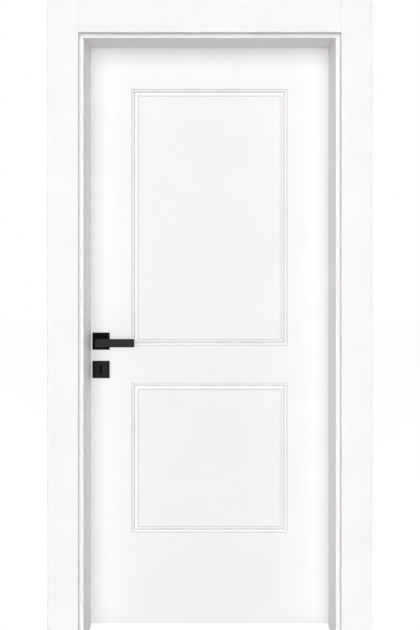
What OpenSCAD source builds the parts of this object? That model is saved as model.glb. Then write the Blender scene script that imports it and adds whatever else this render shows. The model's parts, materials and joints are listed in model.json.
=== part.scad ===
// Interior door with two moulded panels, hung in a lined frame with casings on both faces.
// X runs across the doorway, Y from the front face to the back, Z up from the floor.

/* [Doorway] */
// Clear width between the side stops
opening_w = 838; // [700:1:1000]
// Clear height under the head stop
opening_h = 2042; // [1950:1:2300]
// Depth of the frame in front of the leaf
reveal_d = 145; // [100:1:240]

/* [Frame] */
// Thickness of the frame, board and stop together
jamb_t = 40; // [38:0.5:50]
// Radius of the stops' front edge
jamb_round = 3; // [1:0.5:6]
// Lap of the stops over the leaf
leaf_lap = 13; // [11:0.5:15]
// Gap between the stops and the leaf, closed by the seals
seal_gap = 4; // [3:0.25:6]
// Width of a seal's bulb
seal_w = 8; // [6:0.5:9]
// Distance of the outer wall fixings from the floor and from the head
fixing_end = 420; // [380:5:480]
// Distance of the inner wall fixings from the floor and from the head
fixing_inner = 720; // [600:5:760]
// Diameter of the wall fixing holes
fixing_d = 8; // [6:0.5:10]

/* [Casings] */
// Width of the front side casings
casing_w = 102; // [70:1:140]
// Height of the front head casing
head_casing_h = 122; // [80:1:160]
// Thickness of the casings at the middle
casing_t = 22; // [18:0.5:30]
// Rise of the casings' rounded face
casing_crown = 3; // [1:0.5:5]
// Radius of the casings' edges
casing_round = 3; // [1:0.5:5]
// Frame edge left showing beside the front casings
front_set_back = 15; // [12:0.5:18]
// Frame edge left showing beside the back casings
back_set_back = 9; // [9:0.5:10]
// Thickness of the casings' tongue
tongue_t = 6; // [4:0.5:7]
// Length of the casings' tongue
tongue_l = 14; // [8:0.5:14]

/* [Leaf] */
// Thickness of the leaf
leaf_t = 42; // [40:0.5:48]
// Thickness of the leaf's skins
skin_t = 8; // [7:0.5:9]
// Gap between the leaf's edges and the frame
edge_gap = 3; // [2.5:0.25:4]
// Gap between the leaf and the floor
floor_gap = 12; // [6:1:20]
// Width of the stiles inside the leaf
stile_w = 40; // [35:1:50]
// Height of the top rail inside the leaf
top_rail_h = 60; // [40:1:100]
// Height of the bottom rail inside the leaf
bottom_rail_h = 80; // [60:1:150]
// Width of the lock block inside the leaf
lock_block_w = 90; // [80:1:120]
// Diameter of the tubes in the core
core_tube_d = 16; // [10:1:18]
// Spacing of the tubes in the core
core_tube_pitch = 28; // [22:1:40]

/* [Panels] */
// Plain margin between a panel and the leaf's side edges
panel_side = 155; // [130:1:200]
// Plain margin above the upper panel
panel_top = 157; // [120:1:250]
// Plain margin between the two panels
panel_mid = 126; // [90:1:200]
// Plain margin below the lower panel
panel_bottom = 316; // [200:1:400]
// Height of the lower panel
lower_panel_h = 534; // [350:1:600]
// Width of the routed moulding
mould_w = 30; // [20:1:45]
// Depth of the routed moulding
mould_d = 6.5; // [4:0.25:6.75]

/* [Hinges] */
// Height of a hinge
hinge_h = 100; // [80:1:120]
// Thickness of the hinge plates
hinge_t = 2.5; // [2:0.1:3]
// Diameter of the hinge knuckles
knuckle_d = 14; // [12:0.5:15]
// Diameter of the hinge pins
hinge_pin_d = 8; // [6:0.5:9]
// Distance of the end hinges from the top and bottom of the leaf
hinge_end = 200; // [150:5:240]

/* [Lock] */
// Height of the lever's axis above the floor
lever_z = 1008; // [980:1:1060]
// Distance from the lever's axis down to the key
key_drop = 100; // [94:1:110]
// Distance from the leaf's edge to the lever's axis
backset = 49; // [46:0.5:60]
// Travel of the latch
latch_throw = 12; // [10:0.5:12.5]
// Travel of the dead bolt
bolt_throw = 15; // [10:0.5:16]
// Thickness of the lock case
case_t = 15; // [14:0.5:16]
// Height of the lock's forend
forend_h = 235; // [222:1:260]
// Thickness of the lock's forend
forend_t = 3; // [2:0.25:4]

/* [Furniture] */
// Width of the square rosettes and key plates
plate_w = 60; // [56:0.5:66]
// Height of the square plates off the leaf
plate_h = 9; // [8:0.25:12]
// Width of the plates' bevelled border
bevel_w = 8; // [4:0.5:9]
// Fall of the plates' bevelled border
bevel_h = 3; // [1:0.25:3.5]
// Length of the lever's bar
lever_l = 136; // [110:1:150]
// Height of the lever's bar
lever_h = 27; // [24:0.5:30]
// Thickness of the lever's bar
lever_t = 12; // [8:0.5:14]
// Distance of the bar's outer face from the leaf
lever_out = 48; // [46:0.5:60]
// Length of the bar behind its axis
lever_heel = 15; // [13:0.5:20]
// Diameter of the lever's neck
neck_d = 22; // [20:0.5:24]
// Height of the keyhole
keyhole_h = 30; // [24:0.5:32]
// Width of the keyhole's round end
keyhole_d = 9.5; // [8:0.25:10]
// Width of the keyhole's slot
keyhole_slot_w = 6; // [5:0.25:7]

/* [Hidden] */
$fn = 64;

// Overrun of the cuts, play of seated pieces, radial play of turning pieces, room for moving faces
cut = 1;
slip = 0.2;
run_play = 0.05;
face_play = 0.3;

// Depths along Y, with the whole set centred on zero
jamb_d = reveal_d + seal_gap + leaf_t;
set_d = casing_t + jamb_d + lever_out;
front_y = casing_t - set_d / 2;
stop_y = front_y + reveal_d;
leaf_y = stop_y + seal_gap;
mid_y = leaf_y + leaf_t / 2;
back_y = leaf_y + leaf_t;

// Distances from the middle of the doorway, and heights
clear_x = opening_w / 2;
leaf_x = clear_x + leaf_lap;
rebate_w = leaf_lap + edge_gap;
rebate_x = clear_x + rebate_w;
wall_x = clear_x + jamb_t;
leaf_top = opening_h + leaf_lap;
rebate_z = opening_h + rebate_w;

// Timber between the leaf's skins
timber_y = [leaf_y + skin_t, back_y - skin_t];

// Casings
tongue_inset = 3;
groove_l = tongue_l + cut;
front_in = front_set_back;
back_in = rebate_w + back_set_back;
casing_out_x = clear_x + front_in + casing_w;
top_z = opening_h + front_in + head_casing_h;
back_casing_w = casing_out_x - clear_x - back_in;
back_head_h = top_z - opening_h - back_in;

// Seals
seal_in = 2;
seal_stem_w = 4;
seal_stem_l = 6;
seal_wall = 1.2;
seal_h = seal_gap - face_play;

// Screws: shank, head and length
small_screw_d = 4;
small_head_d = 8;
corner_screw_d = 5;
corner_head_d = 10;
corner_screw_l = 80;
corner_screw_shares = [0.25, 0.72];
strike_screw_l = 16;
hinge_screw_l = 18;
forend_screw_l = 25;

// Hinges
hinge_axis_x = (leaf_x + rebate_x) / 2;
hinge_axis_y = back_y + knuckle_d / 2 + face_play;
hinge_w = leaf_t - skin_t;
hinge_zs = [floor_gap + hinge_end, (floor_gap + leaf_top) / 2, leaf_top - hinge_end];
knuckle_count = 5;
knuckle_h = hinge_h / knuckle_count;
hinge_screw_shares = [-0.4, -0.15, 0.15, 0.4];
hinge_row_edge = 4;
hinge_rows = [groove_l + hinge_row_edge, hinge_w - hinge_row_edge - small_screw_d / 2];
pin_head_h = 3;
pin_crown_h = 2;

// Lock case, seen from the lever's axis
lever_x = backset - leaf_x;
key_z = lever_z - key_drop;
case_wall = 1.5;
case_up = 56;
case_down = 30;
case_behind = 32;
case_x0 = forend_t - leaf_x;
case_x1 = lever_x + case_behind;
case_y0 = mid_y - case_t / 2;
case_y1 = mid_y + case_t / 2;
case_z0 = key_z - case_down;
case_z1 = lever_z + case_up;
case_in = case_t - 2 * case_wall;
forend_w = 22;
forend_z = (case_z0 + case_z1) / 2;
forend_screw_in = (forend_h - case_z1 + case_z0) / 4;
lock_block_h = forend_h + 2 * stile_w;

// Strike plate and the pockets behind it
strike_t = 2.5;
strike_w = 24;
strike_play = 1.5;
pocket_play = 3;

// Latch and dead bolt
latch_w = case_in - 2 * slip;
latch_h = 24;
latch_rise = 35;
latch_z = lever_z + latch_rise;
latch_nose = 3;
latch_guide = 13;
latch_head_x1 = latch_guide - leaf_x;
shank_d = 6;
heel_l = 5;
heel_w = 8;
heel_low = 12;
push_play = 0.5;
lug_before = 14;
lug_t = 3;
lug_h = 16;
bolt_h = 30;
bolt_rise = 42;
bolt_z = key_z + bolt_rise;
bolt_guide = 30;
bolt_tail_t = 5;
bolt_tail_h = 16;
bolt_tail_end = 17;
talon_rise = 18;
talon_w = 10;
talon_h = 9;
post_d = 5;
post_before = 8;

// Follower and springs
hub_d = 19;
hub_journal_d = 17;
spindle_w = 8;
finger_r = 18;
finger_w = 7;
finger_t = 6;
spring_wire = 1;
spring_r = 4.3;
spring_sides = 6;
spring_steps = 12;
latch_turns = 6;
lever_turns = 9;

// Lever, rosettes and key plates
bar_round = 3;
bar_edge = 1;
journal_d = 18;
spindle_in = 26;
socket_in = 28;
grub_d = 5;
grub_out = 20;
plate_hollow = 5.5;
plate_rim = 4;
base_t = plate_hollow - face_play;
base_w = plate_w - 2 * plate_rim - 2 * slip;
fix_reach = 19;
rosette_bolt_d = 4;
rosette_bolt_hole = 7;
rosette_bolt_l = leaf_t + 2 * base_t - cut;
key_screw_d = 3.5;
key_screw_head = 7;
key_screw_l = 16;
skin_hole_d = 20;
keyhole_room = 3;

// Moulding outline: places across the width and depths, as shares of the moulding
quirk_shares = [0.04, 0.1, 0.187];
bead_shares = [0.22, 0.27, 0.347];
slope_shares = [0.45, 0.67];
line_shares = [0.82, 0.868];
quirk_d_share = 0.8;
lip_d_share = 0.1;
bead_d_share = 0.57;
slope_d_share = 0.77;
line_d_share = 0.72;
quirk_at = mould_w * quirk_shares;
bead_at = mould_w * bead_shares;
slope_at = mould_w * slope_shares;
line_at = mould_w * line_shares;
quirk_d = mould_d * quirk_d_share;
lip_d = mould_d * lip_d_share;
bead_d = mould_d * bead_d_share;
slope_d = mould_d * slope_d_share;
line_d = mould_d * line_d_share;
arc_steps = 8;

// Colours
lacquer = "#f4f2f3";
raw_wood = "#c9a87c";
chipboard = "#b9986b";
black_metal = "#26262a";
steel = "#a9abad";
gasket = "#d8d6d4";

// A box between limits along each axis
module span(x, y, z) {
  translate([x[0], y[0], z[0]]) cube([x[1] - x[0], y[1] - y[0], z[1] - z[0]]);
}

// A YZ outline drawn out along X
module along_x(from, to) {
  translate([from, 0, 0]) rotate([90, 0, 90]) linear_extrude(to - from) children();
}

// An XZ outline drawn out along Y
module along_y(from, to) {
  translate([0, to, 0]) rotate([90, 0, 0]) linear_extrude(to - from) children();
}

// Round bars along X and Y
module rod_x(d, from, to) {
  translate([from, 0, 0]) rotate([0, 90, 0]) cylinder(d = d, h = to - from);
}

module rod_y(d, from, to) {
  translate([0, from, 0]) rotate([-90, 0, 0]) cylinder(d = d, h = to - from);
}

// A countersunk screw with its head's face at the origin and its tip down
module screw(d, head_d, l) {
  head_h = (head_d - d) / 2;
  translate([0, 0, -head_h]) cylinder(d1 = d, d2 = head_d, h = head_h);
  translate([0, 0, -l]) cylinder(d = d, h = l - head_h);
}

// Room for a screw
module screw_hole(d, head_d, l) {
  screw(d + slip, head_d + slip, l + slip);
}

// The mirror image on the leaf's back face
module to_back() {
  translate([0, 2 * mid_y, 0]) mirror([0, 1, 0]) children();
}

// Frame board, seen from above: outwards from the clear face, and back from the front face
module board_section() {
  difference() {
    translate([rebate_w, 0]) square([jamb_t - rebate_w, jamb_d]);
    front_groove();
    back_groove();
  }
}

// Stop on the board's face, in front of the leaf
module stop_section() {
  difference() {
    square([rebate_w, reveal_d]);
    front_edge_waste();
    front_groove();
    seal_groove();
  }
}

// What rounds the front edge off
module front_edge_waste() {
  difference() {
    translate([-cut, -cut]) square(jamb_round + cut);
    translate([jamb_round, jamb_round]) circle(jamb_round);
  }
}

// Grooves for the front and back casings' tongues, and for the seal
module front_groove() {
  translate([front_in + tongue_inset - slip, -cut]) square([tongue_t + 2 * slip, groove_l + cut]);
}

module back_groove() {
  translate([back_in + tongue_inset - slip, jamb_d - groove_l])
    square([tongue_t + 2 * slip, groove_l + cut]);
}

module seal_groove() {
  translate([seal_in + (seal_w - seal_stem_w) / 2, reveal_d - seal_stem_l])
    square([seal_stem_w, seal_stem_l + cut]);
}

// Holes for the screws that fix a side board to the wall
module wall_fixings() {
  for (end = [fixing_end, fixing_inner], z = [end, opening_h - end])
    translate([0, mid_y, z]) rod_x(fixing_d, clear_x, wall_x + cut);
}

module corner_screw_places() {
  for (side = [-1, 1], share = corner_screw_shares)
    translate([side * (rebate_x + wall_x) / 2, front_y + share * jamb_d, opening_h + jamb_t])
      children();
}

module side_jamb() {
  difference() {
    translate([clear_x, front_y, 0]) linear_extrude(rebate_z) board_section();
    wall_fixings();
    corner_screw_places() screw_hole(corner_screw_d, corner_head_d, corner_screw_l);
  }
}

module left_jamb() {
  color(lacquer) difference() {
    mirror([1, 0, 0]) side_jamb();
    strike_room();
  }
}

module right_jamb() {
  color(lacquer) difference() {
    side_jamb();
    for (z = hinge_zs) {
      hinge_mortise(z);
      hinge_screw_places(z) screw_hole(small_screw_d, small_head_d, hinge_screw_l);
    }
  }
}

// The head board lies on the side boards
module head_jamb() {
  color(lacquer) difference() {
    span([-wall_x, wall_x], [front_y, back_y], [rebate_z, opening_h + jamb_t]);
    head_run(clear_x + front_in + slip) front_groove();
    head_run(clear_x + back_in + slip) back_groove();
    corner_screw_places() screw_hole(corner_screw_d, corner_head_d, corner_screw_l);
  }
}

module right_stop() {
  color(lacquer) translate([clear_x, front_y, 0]) linear_extrude(opening_h) stop_section();
}

module left_stop() {
  mirror([1, 0, 0]) right_stop();
}

// The head stop lies on the side stops, between the side boards
module head_stop() {
  color(lacquer) head_run(rebate_x) stop_section();
}

// An outline of a side board, run across the head between plus and minus x
module head_run(x) {
  along_x(-x, x) translate([front_y, opening_h]) mirror([1, 0]) rotate(90) children();
}

// Casing: outwards from its inner edge, and off the wall
module casing_section(w) {
  crown_r = (pow(w / 2, 2) + pow(casing_crown, 2)) / (2 * casing_crown);
  edge_t = casing_t - crown_r + sqrt(pow(crown_r, 2) - pow(w / 2 - casing_round, 2));
  intersection() {
    translate([w / 2, casing_t - crown_r]) circle(crown_r, $fn = 360);
    union() {
      square([w, edge_t - casing_round]);
      translate([casing_round, 0]) square([w - 2 * casing_round, casing_t]);
      for (x = [casing_round, w - casing_round])
        translate([x, edge_t - casing_round]) circle(casing_round);
    }
  }
}

module tongue_section() {
  translate([tongue_inset, -tongue_l]) square([tongue_t, tongue_l + cut]);
}

// Upright casing on the right, off the plane y = 0 towards plus Y
module side_casing(inner, w) {
  translate([clear_x + inner, 0, 0]) {
    linear_extrude(top_z) casing_section(w);
    linear_extrude(opening_h) tongue_section();
  }
}

// Head casing between the upright ones, off the plane y = 0 towards plus Y
module head_casing(inner, h) {
  reach = clear_x + inner;
  along_x(-reach, reach) translate([0, opening_h + inner]) mirror([1, 0]) rotate(90) {
    casing_section(h);
    tongue_section();
  }
}

module front_right_casing() {
  color(lacquer) translate([0, front_y, 0]) mirror([0, 1, 0]) side_casing(front_in, casing_w);
}

module front_left_casing() {
  mirror([1, 0, 0]) front_right_casing();
}

module front_head_casing() {
  color(lacquer) translate([0, front_y, 0]) mirror([0, 1, 0]) head_casing(front_in, head_casing_h);
}

module back_right_casing() {
  color(lacquer) translate([0, back_y, 0]) side_casing(back_in, back_casing_w);
}

module back_left_casing() {
  mirror([1, 0, 0]) back_right_casing();
}

module back_head_casing() {
  color(lacquer) translate([0, back_y, 0]) head_casing(back_in, back_head_h);
}

// Seal: a stem in the groove and a hollow bulb against the leaf
module seal_section() {
  bulb_r = seal_w / 2;
  translate([seal_in + bulb_r, reveal_d]) {
    translate([-seal_stem_w / 2, -seal_stem_l]) square([seal_stem_w, seal_stem_l]);
    intersection() {
      translate([-bulb_r, 0]) square([seal_w, seal_h]);
      difference() {
        translate([0, seal_h - bulb_r]) circle(bulb_r);
        translate([0, seal_h - bulb_r]) circle(bulb_r - seal_wall);
      }
    }
    translate([-bulb_r + seal_wall, 0]) square([seal_w - 2 * seal_wall, seal_wall / 2]);
  }
}

module right_seal() {
  color(gasket) translate([clear_x, front_y, 0]) linear_extrude(opening_h) seal_section();
}

module left_seal() {
  mirror([1, 0, 0]) right_seal();
}

module head_seal() {
  color(gasket) head_run(clear_x + seal_in + seal_w) seal_section();
}

module corner_screws() {
  color(steel) corner_screw_places() screw(corner_screw_d, corner_head_d, corner_screw_l);
}

// Strike plate in the left board's rebate, opposite the lock's forend
module strike_screw_places() {
  for (side = [-1, 1])
    translate([-rebate_x, mid_y, forend_z + side * (forend_h / 2 - forend_screw_in)])
      rotate([0, 90, 0]) children();
}

// Holes for the latch and the dead bolt, grown by some play and reaching between two x
module bolt_mouths(play, from, to) {
  y = [mid_y - latch_w / 2 - play, mid_y + latch_w / 2 + play];
  span([from, to], y, [latch_z - latch_h / 2 - play, latch_z + latch_h / 2 + play]);
  span([from, to], y, [bolt_z - bolt_h / 2 - play, bolt_z + bolt_h / 2 + play]);
}

module strike_room() {
  span([-rebate_x - strike_t, cut - rebate_x],
    [mid_y - strike_w / 2 - slip, mid_y + strike_w / 2 + slip],
    [forend_z - forend_h / 2 - slip, forend_z + forend_h / 2 + slip]);
  bolt_mouths(strike_play, -leaf_x - bolt_throw - pocket_play, -rebate_x);
  strike_screw_places() screw_hole(small_screw_d, small_head_d, strike_screw_l);
}

module strike_plate() {
  color(steel) difference() {
    span([-rebate_x - strike_t, -rebate_x], [mid_y - strike_w / 2, mid_y + strike_w / 2],
      [forend_z - forend_h / 2, forend_z + forend_h / 2]);
    bolt_mouths(strike_play, -wall_x, cut - rebate_x);
    strike_screw_places() screw_hole(small_screw_d, small_head_d, strike_screw_l);
  }
}

module strike_screws() {
  color(steel) strike_screw_places() screw(small_screw_d, small_head_d, strike_screw_l);
}

// Hinge pieces at height z, built on the frame's side of the hinge
module hinge_mortise(z) {
  span([rebate_x - cut, rebate_x + hinge_t], [back_y - hinge_w - slip, back_y + cut],
    [z - hinge_h / 2 - slip, z + hinge_h / 2 + slip]);
}

module hinge_screw_places(z) {
  for (i = [0 : len(hinge_screw_shares) - 1])
    translate([rebate_x, back_y - hinge_rows[i % 2], z + hinge_screw_shares[i] * hinge_h])
      rotate([0, -90, 0]) children();
}

// A plate with every second knuckle, starting at the knuckle with number first
module hinge_plate(z, first) {
  difference() {
    union() {
      span([rebate_x, rebate_x + hinge_t], [back_y - hinge_w, back_y], [z - hinge_h / 2, z + hinge_h / 2]);
      for (i = [first : 2 : knuckle_count - 1]) {
        foot = z - hinge_h / 2 + i * knuckle_h + face_play / 2;
        head = foot + knuckle_h - face_play;
        span([rebate_x, rebate_x + hinge_t], [back_y - cut, hinge_axis_y], [foot, head]);
        translate([hinge_axis_x, hinge_axis_y, foot]) cylinder(d = knuckle_d, h = head - foot);
      }
    }
    translate([hinge_axis_x, hinge_axis_y, z - hinge_h / 2 - cut])
      cylinder(d = hinge_pin_d + 2 * run_play, h = hinge_h + 2 * cut);
    hinge_screw_places(z) screw_hole(small_screw_d, small_head_d, hinge_screw_l);
  }
}

// The leaf's half of a hinge is the mirror image of the frame's half
module to_leaf_plate() {
  translate([2 * hinge_axis_x, 0, 0]) mirror([1, 0, 0]) children();
}

module hinge_pin(z) {
  top = z + hinge_h / 2 - face_play / 2;
  color(black_metal) translate([hinge_axis_x, hinge_axis_y, 0]) {
    translate([0, 0, z - hinge_h / 2]) cylinder(d = hinge_pin_d, h = top - z + hinge_h / 2);
    translate([0, 0, top]) cylinder(d = knuckle_d, h = pin_head_h);
    translate([0, 0, top + pin_head_h]) cylinder(d1 = knuckle_d, d2 = hinge_pin_d, h = pin_crown_h);
  }
}

module hinge_frame_plate(z) {
  color(black_metal) hinge_plate(z, 0);
}

module hinge_leaf_plate(z) {
  color(black_metal) to_leaf_plate() hinge_plate(z, 1);
}

module bottom_hinge_frame_plate() { hinge_frame_plate(hinge_zs[0]); }
module mid_hinge_frame_plate() { hinge_frame_plate(hinge_zs[1]); }
module top_hinge_frame_plate() { hinge_frame_plate(hinge_zs[2]); }
module bottom_hinge_leaf_plate() { hinge_leaf_plate(hinge_zs[0]); }
module mid_hinge_leaf_plate() { hinge_leaf_plate(hinge_zs[1]); }
module top_hinge_leaf_plate() { hinge_leaf_plate(hinge_zs[2]); }
module bottom_hinge_pin() { hinge_pin(hinge_zs[0]); }
module mid_hinge_pin() { hinge_pin(hinge_zs[1]); }
module top_hinge_pin() { hinge_pin(hinge_zs[2]); }

module hinge_frame_screws() {
  color(black_metal) for (z = hinge_zs)
    hinge_screw_places(z) screw(small_screw_d, small_head_d, hinge_screw_l);
}

module hinge_leaf_screws() {
  to_leaf_plate() hinge_frame_screws();
}

// Room in the leaf for its hinge plates and their screws
module leaf_hinge_room() {
  to_leaf_plate() for (z = hinge_zs) {
    hinge_mortise(z);
    hinge_screw_places(z) screw_hole(small_screw_d, small_head_d, hinge_screw_l);
  }
}

// Outlines of the routed moulding, each point an inset from the panel's edge and a depth.
// The quirk has a sloping outer wall, and an upright inner one that rounds over onto the bead
function quirk_down() =
  let (lean = (quirk_at[1] - quirk_at[0]) / quirk_d)
  [[quirk_at[0] - cut * lean, -cut], [quirk_at[1], quirk_d]];

function quirk_up() = concat(
  [[quirk_at[2], quirk_d + cut]],
  [for (i = [0 : arc_steps / 2]) let (a = 180 * i / arc_steps)
    [bead_at[0] - (bead_at[0] - quirk_at[2]) * cos(a), lip_d * (1 - sin(a))]],
  [[bead_at[0], -2 * cut]]
);

// The bead falls to the deepest groove, and a hollow slope rises from there to the panel's level
function bead_down() = concat(
  [[bead_at[1], -cut]],
  [for (i = [0 : arc_steps]) let (a = 90 * i / arc_steps)
    [bead_at[1] + (bead_at[2] - bead_at[1]) * sin(a), bead_d * (1 - cos(a))]],
  [[bead_at[2], mould_d]]
);

function slope_up() =
  let (
    run = slope_at[1] - slope_at[0],
    r = (pow(run, 2) + pow(slope_d, 2)) / (2 * slope_d),
    steep = asin(run / r)
  )
  concat(
    [[slope_at[0], mould_d + cut]],
    [for (i = [0 : arc_steps]) let (a = steep * (1 - i / arc_steps))
      [slope_at[1] - r * sin(a), r * (1 - cos(a))]],
    [[slope_at[1], -2 * cut]]
  );

// A fine line is cut round the panel inside the slope
function line_down() = [[line_at[0], -cut], [line_at[0], line_d]];
function line_up() = [[line_at[1], line_d + cut], [line_at[1], -2 * cut]];

// A line of insets and depths, closed with its mirror image across a width
function across(w, line) = concat(
  [for (p = line) [p[0] - w / 2, p[1]]],
  [for (i = [len(line) - 1 : -1 : 0]) [w / 2 - line[i][0], line[i][1]]]
);

// A rectangle, centred on the Y axis, whose four sides follow the line
module four_sided(w, h, line) {
  intersection() {
    translate([0, 0, -h / 2 - mould_w]) linear_extrude(h + 2 * mould_w) polygon(across(w, line));
    along_x(-w / 2 - mould_w, w / 2 + mould_w) polygon([for (p = across(h, line)) [p[1], p[0]]]);
  }
}

// A groove that falls along one line and rises along another
module routed_groove(w, h, down, up) {
  difference() {
    four_sided(w, h, down);
    four_sided(w, h, up);
  }
}

// The routed frame around a panel with these limits, in the face y = 0
module panel_mould(x, z) {
  w = x[1] - x[0];
  h = z[1] - z[0];
  translate([(x[0] + x[1]) / 2, 0, (z[0] + z[1]) / 2]) {
    routed_groove(w, h, quirk_down(), quirk_up());
    routed_groove(w, h, bead_down(), slope_up());
    routed_groove(w, h, line_down(), line_up());
  }
}

// The front skin, its outer face looking towards minus Y
module skin() {
  panel_x = leaf_x - panel_side;
  lower_z = floor_gap + panel_bottom;
  upper_z = lower_z + lower_panel_h + panel_mid;
  difference() {
    span([-leaf_x, leaf_x], [leaf_y, leaf_y + skin_t], [floor_gap, leaf_top]);
    translate([0, leaf_y, 0]) {
      panel_mould([-panel_x, panel_x], [lower_z, lower_z + lower_panel_h]);
      panel_mould([-panel_x, panel_x], [upper_z, leaf_top - panel_top]);
    }
    lock_room();
  }
}

module front_skin() {
  color(lacquer) skin();
}

module back_skin() {
  color(lacquer) difference() {
    to_back() skin();
    leaf_hinge_room();
  }
}

module lock_stile() {
  color(lacquer) difference() {
    span([-leaf_x, stile_w - leaf_x], timber_y, [floor_gap, leaf_top]);
    lock_room();
  }
}

module hinge_stile() {
  color(lacquer) difference() {
    span([leaf_x - stile_w, leaf_x], timber_y, [floor_gap, leaf_top]);
    leaf_hinge_room();
  }
}

module top_rail() {
  color(lacquer) span([stile_w - leaf_x, leaf_x - stile_w], timber_y, [leaf_top - top_rail_h, leaf_top]);
}

module bottom_rail() {
  color(lacquer) span([stile_w - leaf_x, leaf_x - stile_w], timber_y, [floor_gap, floor_gap + bottom_rail_h]);
}

module lock_block_box() {
  span([stile_w - leaf_x, stile_w - leaf_x + lock_block_w], timber_y,
    [forend_z - lock_block_h / 2, forend_z + lock_block_h / 2]);
}

module lock_block() {
  color(raw_wood) difference() {
    lock_block_box();
    lock_room();
  }
}

// Chipboard core with upright tubes
module tubular_core() {
  half_w = leaf_x - stile_w;
  z = [floor_gap + bottom_rail_h, leaf_top - top_rail_h];
  tubes = floor(half_w / core_tube_pitch - 1 / 2);
  color(chipboard) difference() {
    span([-half_w, half_w], timber_y, z);
    lock_block_box();
    for (i = [-tubes : tubes])
      translate([i * core_tube_pitch, mid_y, z[0] - cut]) cylinder(d = core_tube_d, h = z[1] - z[0] + 2 * cut);
  }
}

// Keyhole outline, grown by some room
module keyhole(room) {
  translate([0, (keyhole_h - keyhole_d) / 2]) circle(d = keyhole_d + 2 * room);
  translate([-keyhole_slot_w / 2 - room, -keyhole_h / 2 - room])
    square([keyhole_slot_w + 2 * room, keyhole_h - keyhole_d / 2 + room]);
}

module at_lever() { translate([lever_x, 0, lever_z]) children(); }
module at_key() { translate([lever_x, 0, key_z]) children(); }

// The two fixings beside the lever's or the key's axis
module fix_places() {
  for (side = [-1, 1]) translate([side * fix_reach, 0, 0]) children();
}

module key_screw_places() {
  at_key() fix_places() translate([0, leaf_y - base_t, 0]) rotate([90, 0, 0]) children();
}

module forend_screw_places() {
  for (side = [-1, 1])
    translate([-leaf_x, mid_y, forend_z + side * (forend_h / 2 - forend_screw_in)])
      rotate([0, -90, 0]) children();
}

// Room in the leaf for the lock and the fixings of its furniture
module lock_room() {
  span([case_x0 - cut, case_x1 + slip], [case_y0 - slip, case_y1 + slip], [case_z0 - slip, case_z1 + slip]);
  span([-leaf_x - cut, case_x0], [mid_y - forend_w / 2 - slip, mid_y + forend_w / 2 + slip],
    [forend_z - forend_h / 2 - slip, forend_z + forend_h / 2 + slip]);
  forend_screw_places() screw_hole(small_screw_d, small_head_d, forend_screw_l);
  at_lever() rod_y(skin_hole_d, leaf_y - cut, back_y + cut);
  at_lever() fix_places() rod_y(rosette_bolt_hole, leaf_y - cut, back_y + cut);
  at_key() along_y(leaf_y - cut, back_y + cut) keyhole(keyhole_room);
  key_screw_places() screw_hole(key_screw_d, key_screw_head, key_screw_l);
  to_back() key_screw_places() screw_hole(key_screw_d, key_screw_head, key_screw_l);
}

// Holes through both walls of the lock case
module case_holes() {
  at_lever() rod_y(hub_journal_d + 2 * run_play, case_y0 - cut, case_y1 + cut);
  at_lever() fix_places() rod_y(rosette_bolt_hole, case_y0 - cut, case_y1 + cut);
  at_key() along_y(case_y0 - cut, case_y1 + cut) keyhole(0);
}

module lock_case() {
  color(steel) difference() {
    union() {
      difference() {
        span([case_x0, case_x1], [case_y0 + case_wall, case_y1], [case_z0, case_z1]);
        span([case_x0 + case_wall, case_x1 - case_wall], [case_y0, case_y1 - case_wall],
          [case_z0 + case_wall, case_z1 - case_wall]);
      }
      span([lever_x - lug_before, lever_x - lug_before + lug_t], [case_y0 + case_wall, case_y1 - case_wall],
        [latch_z - lug_h / 2, latch_z + lug_h / 2]);
      translate([lever_x - post_before, 0, bolt_z]) rod_y(post_d, case_y0 + case_wall, case_y1 - case_wall);
    }
    case_holes();
    bolt_mouths(slip, case_x0 - cut, case_x0 + case_wall + cut);
    translate([0, mid_y, latch_z])
      rod_x(shank_d + 2 * slip, lever_x - lug_before - cut, lever_x - lug_before + lug_t + cut);
  }
}

module lock_cover() {
  color(steel) difference() {
    span([case_x0, case_x1], [case_y0, case_y0 + case_wall], [case_z0, case_z1]);
    case_holes();
  }
}

module lock_forend() {
  color(steel) difference() {
    span([-leaf_x, case_x0], [mid_y - forend_w / 2, mid_y + forend_w / 2],
      [forend_z - forend_h / 2, forend_z + forend_h / 2]);
    bolt_mouths(slip, -leaf_x - cut, case_x0 + cut);
    forend_screw_places() screw_hole(small_screw_d, small_head_d, forend_screw_l);
  }
}

module forend_screws() {
  color(steel) forend_screw_places() screw(small_screw_d, small_head_d, forend_screw_l);
}

// A coil along X: rings of points along a helix, joined and capped
module coil_spring(length, turns) {
  steps = turns * spring_steps;
  rise = length - 2 * spring_wire;
  points = [for (i = [0 : steps], k = [0 : spring_sides - 1])
    let (a = 360 * i / spring_steps, b = 360 * k / spring_sides, r = spring_r + spring_wire / 2 * cos(b))
    [spring_wire + rise * i / steps + spring_wire / 2 * sin(b), r * cos(a), r * sin(a)]];
  walls = [for (i = [0 : steps - 1], k = [0 : spring_sides - 1])
    let (n = (k + 1) % spring_sides, p = i * spring_sides, q = p + spring_sides)
    [p + k, p + n, q + n, q + k]];
  ends = [[for (k = [spring_sides - 1 : -1 : 0]) k], [for (k = [0 : spring_sides - 1]) steps * spring_sides + k]];
  polyhedron(points, concat(walls, ends));
}

module latch_spring() {
  color(steel) translate([latch_head_x1, mid_y, latch_z])
    coil_spring(lever_x - lug_before - latch_head_x1, latch_turns);
}

module lever_spring() {
  seat_x = case_x0 + case_wall;
  color(steel) translate([seat_x, mid_y, lever_z - finger_r])
    coil_spring(lever_x - finger_w / 2 - seat_x, lever_turns);
}

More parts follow.
